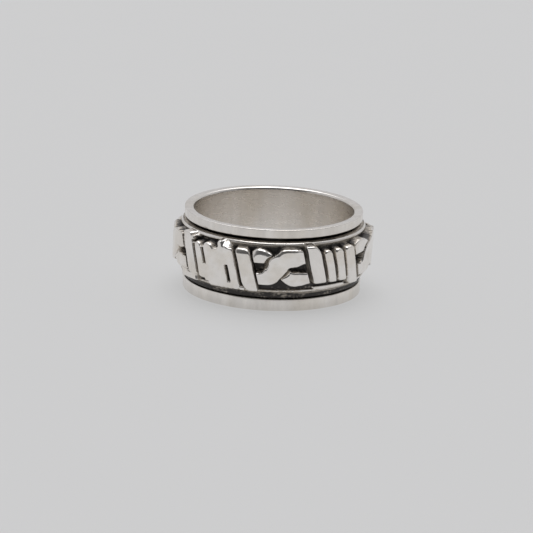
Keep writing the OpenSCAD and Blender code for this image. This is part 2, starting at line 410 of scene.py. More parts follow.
def strip_object(name, columns, rows, attributes):
    """A closed band, laid out flat: x is the way round, y the radius and z the height. rows are the (radius,
    height) points of its section, and attributes give numbers for the rows, the columns, or every point."""
    count, height = len(columns), len(rows)
    section = np.array(rows)
    points = np.empty((count, height, 3))
    points[:, :, 0] = np.array(columns)[:, None]
    points[:, :, 1] = section[None, :, 0]
    points[:, :, 2] = section[None, :, 1]
    i, j = np.meshgrid(np.arange(count), np.arange(height), indexing="ij")
    i2, j2 = (i + 1) % count, (j + 1) % height
    faces = np.stack([i * height + j, i2 * height + j, i2 * height + j2, i * height + j2], -1).reshape(-1, 4)
    mesh = bpy.data.meshes.new(name)
    mesh.from_pydata(points.reshape(-1, 3).tolist(), [], faces.tolist())
    for attribute, values in attributes.items():
        spread = np.broadcast_to(values, (count, height)).astype(np.float32).ravel()
        keep_on_points(mesh, attribute, spread)
    mesh.shade_smooth()
    return add_object(name, mesh)


def run_tree(strip, tree, inputs, name):
    """Runs a tree of nodes on a strip and gives the result as a plain mesh object at the origin."""
    modifier = strip.modifiers.new(tree.name, "NODES")
    modifier.node_group = tree
    named = {item.name: item for item in tree.interface.items_tree if item.in_out == "INPUT"}
    for socket_name, value in inputs.items():
        modifier[named[socket_name].identifier] = value
    bpy.context.view_layer.update()
    depsgraph = bpy.context.evaluated_depsgraph_get()
    mesh = bpy.data.meshes.new_from_object(strip.evaluated_get(depsgraph))
    strip.modifiers.remove(modifier)
    bpy.data.objects.remove(strip)
    mesh.name = name
    return add_object(name, mesh)


def arc_points(centre, radius, start, end, steps):
    """Points of an arc in a section, angles in degrees from the outward direction."""
    turns = np.radians(np.linspace(start, end, steps + 1))
    return [(centre[0] + radius * math.cos(t), centre[1] + radius * math.sin(t)) for t in turns]


# The inner band

# Columns round the band, and how far and how finely its outline strays
BAND_COLUMNS = 360
BAND_STRAY = 0.012 * MM
BAND_STRAY_SCALE = 130.0
# How much a rim's end face is domed, how far its edges' arcs turn, and half the width of its flat middle
DOME = 0.02 * MM
DOME_TURN = 82
FLAT = 0.1 * MM
# How far out from its middle the upper end face has a row that has fallen a little, and by how much
FALL_PLACE = 0.25 * MM
FALL = 0.004 * MM
# Rounding of a rim's edge towards the spinner
FILLET = 0.1 * MM
# Steps of the arcs at a rim's inner edge, its outer edge and the edge towards the spinner
INNER_STEPS, OUTER_STEPS, FILLET_STEPS = 7, 5, 3
# Rows down the bore, how far they keep from its ends, and how near the bore's radius a point is in the bore
BORE_ROWS = 12
BORE_MARGIN = 0.8 * MM
BORE_REACH = 0.004 * MM


def inner_band_section(sizes):
    """The sleeve and its rims, anticlockwise from the bore's lower edge, with slightly domed end faces."""
    bore, sleeve = sizes.finger_radius, sizes.finger_radius + sizes.sleeve_wall
    inner, outer = sizes.rim_inner_round, sizes.rim_outer_round
    middle = (bore + RIM_RADIUS) / 2
    rim_top, rim_low = sizes.lower_rim, RING_HEIGHT - sizes.upper_rim
    rows = arc_points((bore + inner, inner + DOME), inner, 180, 180 + DOME_TURN, INNER_STEPS)
    rows += [(middle - FLAT, 0.0), (middle + FLAT, 0.0)]
    rows += arc_points((RIM_RADIUS - outer, outer + DOME), outer, -DOME_TURN, 0, OUTER_STEPS)
    rows += arc_points((RIM_RADIUS - FILLET, rim_top - FILLET), FILLET, 0, 90, FILLET_STEPS)
    rows += [(sleeve, rim_top), (sleeve, rim_low)]
    rows += arc_points((RIM_RADIUS - FILLET, rim_low + FILLET), FILLET, -90, 0, FILLET_STEPS)
    rows += arc_points((RIM_RADIUS - outer, RING_HEIGHT - outer - DOME), outer, 0, DOME_TURN, OUTER_STEPS)
    rows += [(middle + FALL_PLACE, RING_HEIGHT - FALL), (middle + FLAT, RING_HEIGHT),
             (middle - FLAT, RING_HEIGHT)]
    rows += arc_points((bore + inner, RING_HEIGHT - inner - DOME), inner, 180 - DOME_TURN, 180, INNER_STEPS)
    rows += [(bore, height) for height in np.linspace(RING_HEIGHT - BORE_MARGIN, BORE_MARGIN, BORE_ROWS)]
    return rows


def inner_band_tree(bend):
    """Bends the band's strip and strays from true as hand work does."""
    maker, given = new_group("Inner band", "GeometryNodeTree", {
        "Geometry": ("geometry",), "Strip radius": ("size", 0.01), "Stray": ("size", 0.00002),
        "Stray scale": ("value",), "Finish": ("material",),
    }, GEOMETRY)
    bent = place_group(maker, bend, {
        name: given[name] for name in ("Geometry", "Strip radius", "Stray", "Stray scale")})[0]
    return finish_piece(maker, bent, given["Finish"])


class MakeInnerBand(bpy.types.Operator):
    """Makes the sleeve and its two rims."""

    bl_idname = "spinner_ring.inner_band"
    bl_label = "Inner Band"

    def execute(self, context):
        sizes = context.scene.spinner_ring_sizes
        rows = inner_band_section(sizes)
        columns = np.linspace(0, 2 * math.pi * RIM_RADIUS, BAND_COLUMNS, endpoint=False)
        bore = [1.0 if radius < sizes.finger_radius + BORE_REACH else 0.0 for radius, _ in rows]
        strip = strip_object("inner strip", columns, rows, {"bore": bore, "freedom": 1.0, "lean": 0.0})
        piece = run_tree(strip, inner_band_tree(shared_tree("Bend into a ring", ring_bend_tree)), {
            "Strip radius": RIM_RADIUS, "Stray": BAND_STRAY, "Stray scale": BAND_STRAY_SCALE,
            "Finish": polished_silver(context.scene)}, "polished_inner_band")
        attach(piece, "inner_ring")
        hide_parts("inner_band")
        return {"FINISHED"}


# The spinner band

# Cut of the lower edges of the spinner's section
EDGE_CUT = 0.06 * MM
# For the rows below the field, from the bore's edge on: (1 where the ornament may raise a row, polish, row
# of the table round the ring that scales the polish to paint light and shade)
FOOT_FINISH = ((0, 0, 0), (0, 0, 0), (0, 0.1, 0), (0, 0.1, 0), (0, 0.18, 0), (0, 0.35, 1), (0, 0.55, 1),
               (1, 0.7, 0), (1, 0.78, 0), (1, 0.8, 0), (1, 0.7, 0))
# Rounding of the upper border, how far it keeps below the top, the start and end of its arc in degrees, and
# the polish of the arc's rows
BORDER_ROUND = 0.28 * MM
BORDER_DROP = 0.05 * MM
BORDER_ARC = (-6, 82)
BORDER_POLISH = (0.66, 0.74, 0.82, 0.9, 1, 1, 1, 0.75, 0.4)
# Rows of the field, how far they keep from its ends, and where it ends below the top, in border roundings
FIELD_ROWS = 71
FIELD_MARGIN = 0.03 * MM
FIELD_END = 1.2
# The field's rise to the upper border: its height, how much of the way out to the border it goes, and its
# polish, which grows with the rise to this power
RISE_HEIGHT = 0.45 * MM
RISE_SHARE = 0.8
RISE_POLISH = 0.62
RISE_POLISH_POWER = 0.4
# How far in from the field's ends a point starts to stray, and over what length it gets its whole freedom
STILL_EDGE = 0.1 * MM
FREE_AFTER = 0.5 * MM
# Place of the top face's first row, in from the border and below the top, and the polish of its rows
TOP_IN = 0.33 * MM
TOP_DROP = 0.02 * MM
TOP_POLISH = (0.4, 0.7, 0.2)
# The polish of a side starts and ends at shares of its wall's width, or of this where the wall is wider
WORN_SIDE = 0.13 * MM
# Share of the way across to each side of a point over which a strand's pitch is read
PITCH_REACH = 0.02
# How finely the casting strays
CAST_STRAY_SCALE = 450.0


class Layout:
    """Where the ornament's bars, solder and crossings stand on the flat strip."""

    def __init__(self, sizes):
        self.radius = (sizes.finger_radius + sizes.sleeve_wall + sizes.run_gap + sizes.field_wall
                       + sizes.relief_out)
        self.field_low = SPINNER_LOW.z + sizes.foot + sizes.foot_slope + sizes.lower_border
        self.field_high = SPINNER_HIGH.z - sizes.upper_border
        self.field_middle = (self.field_low + self.field_high) / 2
        self.groove = sizes.groove
        self.bars = []
        self.crossings = []
        share = 2 * math.pi * self.radius / sum(wrap + crossing for wrap, crossing, *_ in ROUND)
        place = math.radians(SEAM_START) * self.radius
        for number, (wrap, crossing, rounding, slope, lower_rounding, soft, tall, groove) in enumerate(ROUND):
            rights = self.lay_wrap(place, wrap * share, PLAIN_BARS if number else SEAM_BARS, soft, tall,
                                   groove * self.groove)
            if number == 0:
                self.add_solder(rights)
            place += wrap * share
            self.crossings.append((
                place + CROSSING_START * self.groove, crossing * share - CROSSING_LOSS * self.groove,
                rounding * MM, slope * MM, lower_rounding * MM))
            place += crossing * share

    def level(self, level):
        """Height of a level, which is 0 at the field's lower edge and 1 at its upper one."""
        return self.field_low + (self.field_high - self.field_low) * level

    def add_bar(self, left, right, low, high, share, *corners):
        """Adds a raised shape; one that reaches an edge of the field laps over the border there."""
        self.bars.append((left, right, self.level(low) - (LAP if low <= 0 else 0),
                          self.level(high) + (LAP if high >= 1 else 0), share, *(c * MM for c in corners)))

    def lay_wrap(self, place, arc, bars, soft, tall, groove):
        """Lays a wrap's bars side by side and gives the places of their right sides."""
        scale = (arc - len(bars) * groove) / sum(bar[0] for bar in bars)
        rights = []
        left = place + groove / 2
        for width, low, high, *corners, rounding, crown in bars:
            right = left + width * scale
            self.add_bar(left, right, low, high * tall, 1.0, *corners, rounding * soft, crown * soft)
            rights.append(right)
            left = right + groove
        return rights

    def add_solder(self, rights):
        """Adds the solder in the seam wrap's grooves, and the lumps."""
        to_left, to_right = (reach * self.groove for reach in SOLDER_REACH)
        for bar, low, high in SOLDER:
            self.add_bar(rights[bar] - to_left, rights[bar] + to_right, low, high, *SOLDER_SHAPE)
        degree = math.radians(self.radius)
        for left, right, *shape in LUMPS:
            self.add_bar(left * degree, right * degree, *shape)

    def columns(self):
        """Places round the ring of the strip's columns: close together at the bars' sides."""
        places = []
        sides = [step * MM for step in SIDE_COLUMNS]
        ends = [step * MM for step in END_COLUMNS]
        for left, right, _, _, share, *_ in self.bars:
            if share < 1:
                continue
            places += [left + step for step in sides] + [right - step for step in sides]
            room = right - left - 2 * sides[-1]
            inner = max(1, math.ceil(room / BAR_STEP))
            places += [left + sides[-1] + room * i / inner for i in range(1, inner)]
        for start, width, *_ in self.crossings:
            places += [start + step for step in ends] + [start + width - step for step in ends]
            room = width - 2 * END_MARGIN
            inner = math.ceil(width / STRAND_STEP)
            places += [start + END_MARGIN + room * i / inner for i in range(inner + 1)]
        return sorted(places)

    def along(self, table):
        """A table's value at each column, from its (degrees from the front, value) rows."""
        degrees, values = zip(*table)
        return np.interp(np.degrees(np.array(self.columns()) / self.radius), degrees, values, period=360)


def table_object(name, rows, columns):
    """Loose points that carry one row of a table each, with the columns as named attributes."""
    mesh = bpy.data.meshes.new(name)
    mesh.from_pydata([(i * MM, 0, 0) for i in range(len(rows))], [], [])
    for i, column in enumerate(columns):
        keep_on_points(mesh, column, [row[i] for row in rows])
    return add_object(name, mesh)


def rounded_step_tree():
    """Height and polish of a raised shape, from how far in from its outline a point lies."""
    maker, given = new_group("Rounded step", "GeometryNodeTree", {
        "Inside": ("size", 0.0), "Height": ("size", 0.001), "Wall": ("size", 0.00005),
        "Rounding": ("size", 0.00015),
    }, {"Height": ("size",), "Polish": ("value",)})
    climb = maker.divide(given["Inside"], given["Wall"], clamp=True)
    wall = maker.times(maker.minus(given["Height"], given["Rounding"]), climb)
    past = maker.minus(given["Inside"], given["Wall"])
    left = maker.minus(1.0, maker.divide(past, given["Rounding"], clamp=True))
    arc = maker.sum("SQRT", maker.minus(1.0, maker.times(left, left)))
    return finish_group(maker, {"Height": maker.times_plus(arc, given["Rounding"], wall), "Polish": climb})


def raise_step(maker, step, inside, height, wall, rounding):
    """Places the rounded step in another tree and gives its outputs."""
    return place_group(maker, step, {"Inside": inside, "Height": height, "Wall": wall, "Rounding": rounding})


def side_polish_and_painted_light(maker, from_left, from_right, inside, wall, given, straight=1.0):
    """Polish near a shape's sides: dark at the outline and bright further in, with painted light all down the
    left wall where that is straight: its polish is raised there as though the wall were lit from the left."""
    narrow = maker.least(wall, WORN_SIDE)
    right = maker.remap(inside, maker.times(narrow, given["Dark edge"]),
                        maker.times(narrow, given["Bright edge"]))
    # Painted light: the left wall's polish is raised to a given share down its whole height.
    left = maker.most(right, maker.times(given["Left wall painted light"], straight))
    return maker.mix(maker.sum("GREATER_THAN", from_left, from_right), left, right)


def bar_tree(step):
    """Height and polish of an upright bar with four rounded corners, drawn out along its length; the polish
    has painted light on the bar's left wall.
    """
    maker, given = new_group("Upright bar", "GeometryNodeTree", {
        **plain_sizes("Along", "Up", "Left", "Right", "Low", "High", "Height"),
        "Upper left": ("size", 0.0005), "Upper right": ("size", 0.0005),
        "Lower left": ("size", 0.0003), "Lower right": ("size", 0.0003), "Stretch": ("value", 1.5),
        "Wall": ("size", 0.00005), "Rounding": ("size", 0.00015), "Crown": ("size", 0.0002),
        # The left wall's polish share is painted light on that wall.
        "Crown wall": ("size", 0.00005), "Left wall painted light": ("value", 0.62), "Dark edge": ("value", 0.6),
        "Bright edge": ("value", 1.3), "Dark top": ("size", 0.00005), "Bright top": ("size", 0.0001),
    }, {"Height": ("size",), "Polish": ("value",)})
    above = maker.minus(given["Up"], given["Low"])
    below = maker.minus(given["High"], given["Up"])
    upper_half = maker.sum("GREATER_THAN", above, below)
    end = maker.divide(maker.least(above, below), given["Stretch"])
    sides = {"left": maker.minus(given["Along"], given["Left"]),
             "right": maker.minus(given["Right"], given["Along"])}
    insides = []
    corners = []
    for name, side in sides.items():
        corner = maker.mix(upper_half, given[f"Lower {name}"], given[f"Upper {name}"])
        corners.append(corner)
        short = [maker.most(maker.minus(corner, gap), 0.0) for gap in (side, end)]
        reach = maker.sum("SQRT", maker.times_plus(short[0], short[0], maker.times(short[1], short[1])))
        deep = maker.most(maker.minus(maker.least(side, end), corner), 0.0)
        insides.append(maker.plus(maker.minus(corner, reach), deep))
    inside = maker.least(*insides)
    raised = raise_step(maker, step, inside, given["Height"], given["Wall"], given["Rounding"])
    crown = raise_step(maker, step, below, given["Height"], given["Crown wall"], given["Crown"])
    height = maker.divide(maker.times(raised["Height"], crown["Height"]), given["Height"])
    straight = maker.divide(end, corners[0], clamp=True)
    polish = side_polish_and_painted_light(maker, sides["left"], sides["right"], inside, given["Wall"], given,
                         maker.times(straight, straight))
    top = maker.remap(below, given["Dark top"], given["Bright top"])
    return finish_group(maker, {"Height": height, "Polish": maker.least(polish, top)})


def curve_value(maker, across, edge):
    """Value of a table's curve on the way across a crossing."""
    node = maker.put("ShaderNodeFloatCurve", {"Value": across})
    curve = node.mapping.curves[0]
    for number, point in enumerate(edge):
        if number < 2:
            curve.points[number].location = point
        else:
            curve.points.new(*point)
    node.mapping.update()
    return node.outputs[0]


def strand_tree(name, step, upper, lower, rounding, slope=NONE, wear=NONE):
    """Height and polish of one strand of a crossing, with painted light on the wall of its left end, and how
    far in from its outline a point lies.
    """
    maker, given = new_group(name, "GeometryNodeTree", {
        **plain_sizes("Along", "Up", "Start", "Width", "Field low", "Field height", "Height"),
        "Wall": ("size", 0.00007), "Rounding": ("size", 0.0004), "Slope": ("size", 0.0),
        "Lower wall": ("size", 0.00006), "Lower rounding": ("size", 0.00012),
        "End wall": ("size", 0.00002), "End rounding": ("size", 0.00005),
        "Slope polish": ("value", 0.69), "Slope gain": ("value", 6.0), "Whole slope": ("size", 0.0003),
        "Dark top": ("value", 0.04), "Bright top": ("value", 0.13),
        # The left wall's polish share is painted light on the wall of the strand's left end.
        "Left wall painted light": ("value", 0.62), "Dark edge": ("value", 0.8), "Bright edge": ("value", 2.6),
    }, {"Height": ("size",), "Polish": ("value",), "Inside": ("size",)})
    from_left = maker.minus(given["Along"], given["Start"])
    across = maker.divide(from_left, given["Width"])
    shape = {"upper": (maker.times_plus(curve_value(maker, across, slope), given["Slope"], given["Wall"]),
                       maker.times(curve_value(maker, across, rounding), given["Rounding"])),
             "lower": (given["Lower wall"], given["Lower rounding"])}
    insides = []
    steps = []
    for side, edge in (("upper", upper), ("lower", lower)):
        before, after = (curve_value(maker, maker.plus(across, shift), edge)
                         for shift in (-PITCH_REACH, PITCH_REACH))
        climb = maker.times(maker.minus(after, before), given["Field height"])
        pitch = maker.divide(climb, maker.times(given["Width"], 2 * PITCH_REACH))
        square = maker.sum("INVERSE_SQRT", maker.times_plus(pitch, pitch, 1.0))
        level = curve_value(maker, across, edge)
        height = maker.times_plus(level, given["Field height"], given["Field low"])
        gap = maker.minus(height, given["Up"]) if side == "upper" else maker.minus(given["Up"], height)
        insides.append(maker.times(gap, square))
        steps.append(raise_step(maker, step, insides[-1], given["Height"], *shape[side]))
    from_right = maker.minus(given["Width"], from_left)
    end_gap = maker.least(from_left, from_right)
    steps.append(raise_step(maker, step, end_gap, given["Height"], given["End wall"], given["End rounding"]))
    product = steps[0]["Height"]
    for other in steps[1:]:
        product = maker.divide(maker.times(product, other["Height"]), given["Height"])
    polish = side_polish_and_painted_light(maker, from_left, from_right, end_gap, given["End wall"], given)
    sloping = maker.divide(given["Slope"], given["Whole slope"], clamp=True)
    worn = maker.times(
        maker.times(curve_value(maker, across, wear), sloping),
        maker.least(maker.times(steps[0]["Polish"], given["Slope gain"]), given["Slope polish"]))
    upper_wall, upper_round = shape["upper"]
    edge = maker.remap(maker.minus(insides[0], upper_wall), maker.times(upper_round, given["Dark top"]),
                       maker.times(upper_round, given["Bright top"]))
    polish = maker.least(polish, maker.most(worn, edge))
    polish = maker.least(polish, steps[1]["Polish"])
    inside = maker.least(maker.least(*insides), end_gap)
    return finish_group(maker, {"Height": product, "Polish": polish, "Inside": inside})


def spinner_tree(bend):
    """Raises the ornament on the flat strip, row by row of its tables, and bends it into the band."""
    step = rounded_step_tree()
    bar = bar_tree(step)
    over = strand_tree("Strand that passes over", step, OVER_UPPER, OVER_LOWER, OVER_ROUNDING, OVER_SLOPE,
                       OVER_WEAR)
    under = strand_tree("Strand that passes under", step, UNDER_UPPER, UNDER_LOWER, UNDER_ROUNDING)
    maker, given = new_group("Rope ornament", "GeometryNodeTree", {
        "Geometry": ("geometry",), "Bars": ("object",), "Crossings": ("object",),
        "Strip radius": ("size", 0.012), "Field radius": ("size", 0.0107), "Field low": ("size", 0.0027),
        "Field height": ("size", 0.0054), "Relief": ("size", 0.0012), "Under share": ("value", 0.9),
        "Under rounding": ("value", 1.7), "Moat share": ("value", 0.5), "Least moat": ("size", 0.00003),
        "Middle height": ("size", 0.0054), "Stray": ("size", 0.00003), "Stray scale": ("value",),
        "Finish": ("material",),
    }, GEOMETRY)
    flat = maker.position()
    # sheen keeps the polish of the highest relief at each point, the painted light on left walls included.
    shape = maker.store(maker.store(given["Geometry"], "relief", 0.0), "sheen", 0.0)

    def repeat(shape, table, columns, heights_at):
        """Repeats over the table's rows, and keeps the highest relief."""
        rows = maker.put("GeometryNodeObjectInfo", {"Object": table}).outputs["Geometry"]
        count = maker.put("GeometryNodeAttributeDomainSize", (rows,), component="MESH").outputs[0]
        start, end = maker.put("GeometryNodeRepeatInput"), maker.put("GeometryNodeRepeatOutput")
        start.pair_with_output(end)
        maker.join(count, start.inputs["Iterations"])
        maker.join(shape, start.inputs["Geometry"])
        row = {column: maker.put("GeometryNodeSampleIndex", {
            "Geometry": rows, "Value": maker.attribute(column), "Index": start.outputs["Iteration"]},
            data_type="FLOAT", domain="POINT").outputs[0] for column in columns}
        shape = start.outputs["Geometry"]
        for height, polish in heights_at(row):
            relief = maker.attribute("relief")
            higher = maker.sum("GREATER_THAN", height, relief)
            shape = maker.store(shape, "sheen", maker.mix(higher, maker.attribute("sheen"), polish))
            shape = maker.store(shape, "relief", maker.most(relief, height))
        maker.join(shape, end.inputs["Geometry"])
        return end.outputs["Geometry"]

    def bar_heights(row):
        """Height and polish of one bar, the polish with painted light on the bar's left wall."""
        raised = place_group(maker, bar, {
            "Along": flat[0], "Up": flat[2], "Height": maker.times(row["share"], given["Relief"])}
            | {column.capitalize(): row[column] for column in BAR_COLUMNS if column != "share"})
        yield raised["Height"], raised["Polish"]

    def strand_heights(row):
        """Height and polish of the strand that passes over, then of the one that passes under, with painted
        light on the walls of their left ends.
        """
        common = {"Along": flat[0], "Up": flat[2], "Field low": given["Field low"],
                  "Field height": given["Field height"]}
        common |= {column.capitalize(): row[column] for column in CROSSING_COLUMNS}
        upper = place_group(maker, over, common | {"Height": given["Relief"]})
        lower = place_group(maker, under, common | {
            "Height": maker.times(given["Relief"], given["Under share"]),
            "Rounding": maker.times(row["rounding"], given["Under rounding"])})
        outside = maker.times(upper["Inside"], -1.0)
        across = maker.divide(maker.minus(flat[0], row["start"]), row["width"])
        width = maker.most(maker.times(curve_value(maker, across, MOAT), MM), given["Least moat"])
        moat = maker.remap(outside, 0.0, width, given["Moat share"], 1.0, "SMOOTHSTEP")
        yield upper["Height"], upper["Polish"]
        yield maker.times(lower["Height"], moat), maker.least(lower["Polish"], moat)

    shape = repeat(shape, given["Bars"], BAR_COLUMNS, bar_heights)
    shape = repeat(shape, given["Crossings"], CROSSING_COLUMNS, strand_heights)
    raised = maker.most(flat[1], maker.plus(given["Field radius"], maker.attribute("relief")))
    radius = maker.mix(maker.attribute("outer"), flat[1], raised)
    shape = maker.put("GeometryNodeSetPosition", {
        "Geometry": shape, "Position": maker.put("ShaderNodeCombineXYZ", (flat[0], radius, flat[2]))})
    # The polish kept for the finish holds the real wear of the black and also painted light and shade: on the
    # ornament's left walls, and round the ring from the strip's own polish.
    shape = maker.store(shape, "polish", maker.most(maker.attribute("polish"), maker.attribute("sheen")))
    bent = place_group(maker, bend, {"Geometry": shape} | {
        name: given[name] for name in ("Strip radius", "Middle height", "Stray", "Stray scale")})[0]
    return finish_piece(maker, bent, given["Finish"])


def spinner_section(sizes, layout):
    """The spinner's section without its ornament, anticlockwise from the lower edge of its bore: (radius,
    height, 1 where the ornament may raise it, polish, freedom to stray, row of the table round the ring that
    scales the polish to paint light and shade)."""
    field = layout.radius - sizes.relief_out
    bore, border = field - sizes.field_wall, field + sizes.border_out
    foot = bore + sizes.foot_wall
    low, high = SPINNER_LOW.z, SPINNER_HIGH.z
    slope_low = low + sizes.foot
    slope_high = slope_low + sizes.foot_slope
    field_low, field_high = layout.field_low, high - FIELD_END * BORDER_ROUND
    cut = EDGE_CUT
    points = ((bore, low), (foot - cut, low), (foot, low + cut), (foot, slope_low - cut),
              (foot + cut / 2, slope_low + cut / 2), (border - 3 * cut, slope_high - 2 * cut),
              (border - cut, slope_high - cut / 2), (border - cut / 4, slope_high + cut / 2),
              (border, slope_high + 1.5 * cut), (border, field_low - 1.5 * cut),
              (border - cut / 2, field_low - cut / 2))
    rows = [(*point, outer, polish, 0, number) for point, (outer, polish, number) in zip(points, FOOT_FINISH)]
    for height in np.linspace(field_low + FIELD_MARGIN, field_high - FIELD_MARGIN, FIELD_ROWS):
        near = min(height - field_low, field_high - height)
        freedom = min(1.0, max(0.0, near - STILL_EDGE) / FREE_AFTER)
        rise = max(0.0, 1 - (field_high - height) / RISE_HEIGHT) ** 2
        rows.append((field + RISE_SHARE * rise * sizes.border_out, height, 1,
                     RISE_POLISH * rise ** RISE_POLISH_POWER, freedom, 2))
    centre = (border - BORDER_ROUND, high - BORDER_ROUND - BORDER_DROP)
    arc = arc_points(centre, BORDER_ROUND, *BORDER_ARC, len(BORDER_POLISH) - 1)
    rows += [(*point, 1, polish, 0, 0) for point, polish in zip(arc, BORDER_POLISH)]
    top = ((border - TOP_IN, high - TOP_DROP), (foot, high), (bore, high))
    rows += [(*point, 0, polish, 0, 0) for point, polish in zip(top, TOP_POLISH)]
    return np.array(rows)


class MakeSpinnerBand(bpy.types.Operator):
    """Makes the loose outer band with its rope ornament."""

    bl_idname = "spinner_ring.spinner_band"
    bl_label = "Spinner Band"

    def execute(self, context):
        sizes = context.scene.spinner_ring_sizes
        layout = Layout(sizes)
        radius, height, outer, polish, freedom, number = spinner_section(sizes, layout).T
        # The strip's polish is scaled round the ring by the table of painted light: on the right side of the
        # foot's slope and of the field under the upper border, with painted shade in the pocket by the seam.
        shares = np.stack([layout.along(table) for table in PAINTED_LIGHT_ROUND], 1)
        lean = sizes.lean + np.radians(layout.along(EXTRA_LEAN))
        strip = strip_object("spinner strip", layout.columns(), np.stack([radius, height], 1), {
            "outer": outer, "polish": polish * shares[:, number.astype(int)], "freedom": freedom,
            "lean": lean[:, None]})
        bars = table_object("bar table", layout.bars, BAR_COLUMNS)
        crossings = table_object("crossing table", layout.crossings, CROSSING_COLUMNS)
        piece = run_tree(strip, spinner_tree(shared_tree("Bend into a ring", ring_bend_tree)), {
            "Bars": bars, "Crossings": crossings, "Strip radius": layout.radius,
            "Field radius": layout.radius - sizes.relief_out, "Field low": layout.field_low,
            "Field height": layout.field_high - layout.field_low, "Relief": sizes.relief_out,
            "Middle height": layout.field_middle, "Stray": sizes.waver, "Stray scale": CAST_STRAY_SCALE,
            "Finish": oxidised_silver(context.scene)}, "oxidised_spinner_band")
        for table in (bars, crossings):
            bpy.data.objects.remove(table)
        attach(piece, "spinner")
        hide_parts("spinner_band")
        return {"FINISHED"}


# The finishes

# How much the grain and the larger patches move the edge of the black, on polished and on dull metal
GRAIN_ON_POLISHED, GRAIN_ON_DULL = 0.5, 2.8
PATCHES_ON_DULL = 1.4
# What polish is worth beside them, and between which sums the black wears off and the bare metal shows
POLISH_WORTH = 1.2
BLACK_WORN = (0.2, 0.8)
METAL_BARE = (0.82, 1.05)
# Metallic, roughness and strength of the bump in the black and on the bare metal
OXIDISED_METALLIC = (0.45, 1.0)
OXIDISED_ROUGHNESS = (0.42, 0.14)
OXIDISED_BUMP = (0.9, 0.12)
# Roughness, shade and its scale on the rims and in the finger hole, and the strength of their bump
POLISHED_ROUGHNESS = (0.16, 0.26)
POLISHED_SHADE = (0.16, 0.13)
POLISHED_SHADE_SCALE = (800.0, 420.0)
POLISHED_BUMP = 0.12
# What fine wear adds to the roughness
WEAR_ROUGHNESS = 0.06
# Scratches run round the ring and the tarnish of the rims upright, so their places are stretched
SCRATCH_STRETCH = (1.0, 1.0, 6.0)
UPRIGHT_STRETCH = (1.0, 1.0, 0.3)
# Share of the scratches in the height of fine wear, and the values of their noise between which they grow
SCRATCH_SHARE = 0.6
SCRATCH_LIMITS = (0.35, 0.7)
# Values of a noise between which a metal's warm tint and its shade grow
TINT_LIMITS = (0.45, 0.62)
SHADE_LIMITS = (0.3, 0.72)
# Colour of deep shade on a metal
SHADE_COLOUR = (0.02, 0.018, 0.015, 1)
# How far the paper's colour strays to each side
MOTTLE = 0.015


def fine_wear_tree():
    """Fine scratches and pits of worn metal: a height for bump, and a mask."""
    maker, given = new_group("Fine wear", "ShaderNodeTree", {
        "Vector": ("vector",), "Scratch scale": ("value", 900.0), "Grain scale": ("value", 6000.0),
    }, {"Height": ("value",), "Mask": ("value",)})
    stretched = maker.vector("MULTIPLY", given["Vector"], SCRATCH_STRETCH)
    scratch = maker.noise(stretched, scale=given["Scratch scale"], detail=3.0, roughness=0.6)[0]
    grain = maker.noise(given["Vector"], scale=given["Grain scale"], detail=2.0)[0]
    height = maker.times_plus(grain, 1 - SCRATCH_SHARE, maker.times(scratch, SCRATCH_SHARE))
    return finish_group(maker, {"Height": height, "Mask": maker.remap(scratch, *SCRATCH_LIMITS)})


def warm_tarnish_tree():
    """Cloudy warm tint and uneven shade over a metal's colour."""
    maker, given = new_group("Warm tarnish", "ShaderNodeTree", {
        "Vector": ("vector",), "Colour": ("colour",), "Tarnish": ("colour",), "Amount": ("value", 0.3),
        "Scale": ("value", 250.0), "Shade": ("value", 0.15), "Shade scale": ("value", 1200.0),
    }, {"Colour": ("colour",)})
    cloud = maker.noise(given["Vector"], scale=given["Scale"], detail=4.0, roughness=0.55)[0]
    tint = maker.times(maker.remap(cloud, *TINT_LIMITS), given["Amount"])
    tinted = maker.blend(tint, given["Colour"], given["Tarnish"])
    blotch = maker.noise(given["Vector"], scale=given["Shade scale"], detail=5.0, roughness=0.6)[0]
    shade = maker.times(maker.remap(blotch, *SHADE_LIMITS), given["Shade"])
    return finish_group(maker, {"Colour": maker.blend(shade, tinted, SHADE_COLOUR)})


def new_material(name):
    """A material with a bare shader; gives it, its maker, the shader and the place on the piece."""
    material = bpy.data.materials.new(name)
    material.use_nodes = True
    maker = Maker(material.node_tree)
    shader = material.node_tree.nodes["Principled BSDF"]
    place = maker.put("ShaderNodeTexCoord").outputs["Object"]
    return material, maker, shader, place


def finish_silver(maker, shader, colour, rough, wear, bump, distance):
    """Joins what both silvers share: colour, roughness with fine wear, and bump."""
    maker.join(colour, shader.inputs["Base Color"])
    maker.join(maker.times_plus(wear["Mask"], WEAR_ROUGHNESS, rough), shader.inputs["Roughness"])
    normal = maker.put("ShaderNodeBump", {"Height": wear["Height"], "Strength": bump, "Distance": distance})
    maker.join(normal, shader.inputs["Normal"])


def polished_silver(scene):
    """Bright worn silver, satin inside the finger hole."""
    finish = scene.spinner_ring_finish
    material, maker, shader, place = new_material("polished silver")
    bore = maker.put("ShaderNodeAttribute", attribute_name="bore").outputs["Fac"]
    wear = place_group(maker, shared_tree("Fine wear", fine_wear_tree), {
        "Vector": place, "Scratch scale": 700.0, "Grain scale": 5000.0})
    upright = maker.vector("MULTIPLY", place, UPRIGHT_STRETCH)
    tarnish = place_group(maker, shared_tree("Warm tarnish", warm_tarnish_tree), {
        "Vector": upright, "Colour": (*finish.silver, 1), "Tarnish": (*finish.tarnish, 1), "Amount": 0.3,
        "Scale": 260.0, "Shade": maker.remap(bore, 0.0, 1.0, *POLISHED_SHADE),
        "Shade scale": maker.remap(bore, 0.0, 1.0, *POLISHED_SHADE_SCALE)})
    shader.inputs["Metallic"].default_value = 1.0
    rough = maker.remap(bore, 0.0, 1.0, *POLISHED_ROUGHNESS)
    finish_silver(maker, shader, tarnish["Colour"], rough, wear, POLISHED_BUMP, distance=0.02 * MM)
    return material


